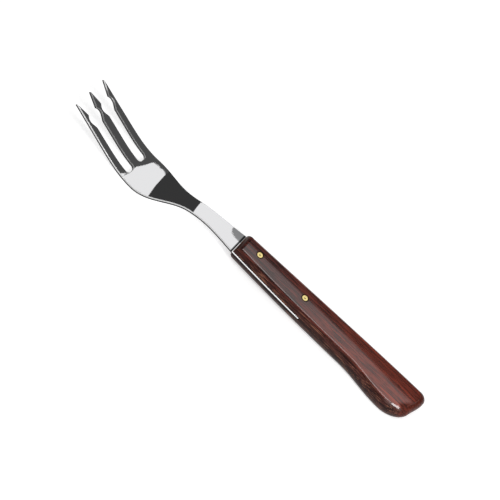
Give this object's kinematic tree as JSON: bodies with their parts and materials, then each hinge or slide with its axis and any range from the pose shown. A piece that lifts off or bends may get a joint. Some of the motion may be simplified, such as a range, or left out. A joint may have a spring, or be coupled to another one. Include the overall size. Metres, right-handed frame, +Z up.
{
  "type": "steak fork",
  "caption": "Steak fork with barbed tines: a bent, polished steel blade set in the saw slot of a dark wooden handle and held by brass rivets.",
  "frame": {"origin": "on the table plane, at the middle of the fork's length and width, with the fork lying on its shoulder and its handle end", "axes": "+X along the fork from the tines towards the handle's end, +Y across it towards the side without the swell, +Z up"},
  "size_m": [0.2, 0.0214, 0.0182],
  "materials": {
    "polished_steel": "stainless sheet, mirror polished",
    "dark_hardwood": "dark red-brown hardwood, smooth, satin lacquer",
    "brass": "ground flush with the wood, fine scratches"
  },
  "bodies": {
    "root": {"fork_blade": "polished_steel", "handle": "dark_hardwood", "front_rivet": "brass", "rear_rivet": "brass"}
  },
  "joints": []
}
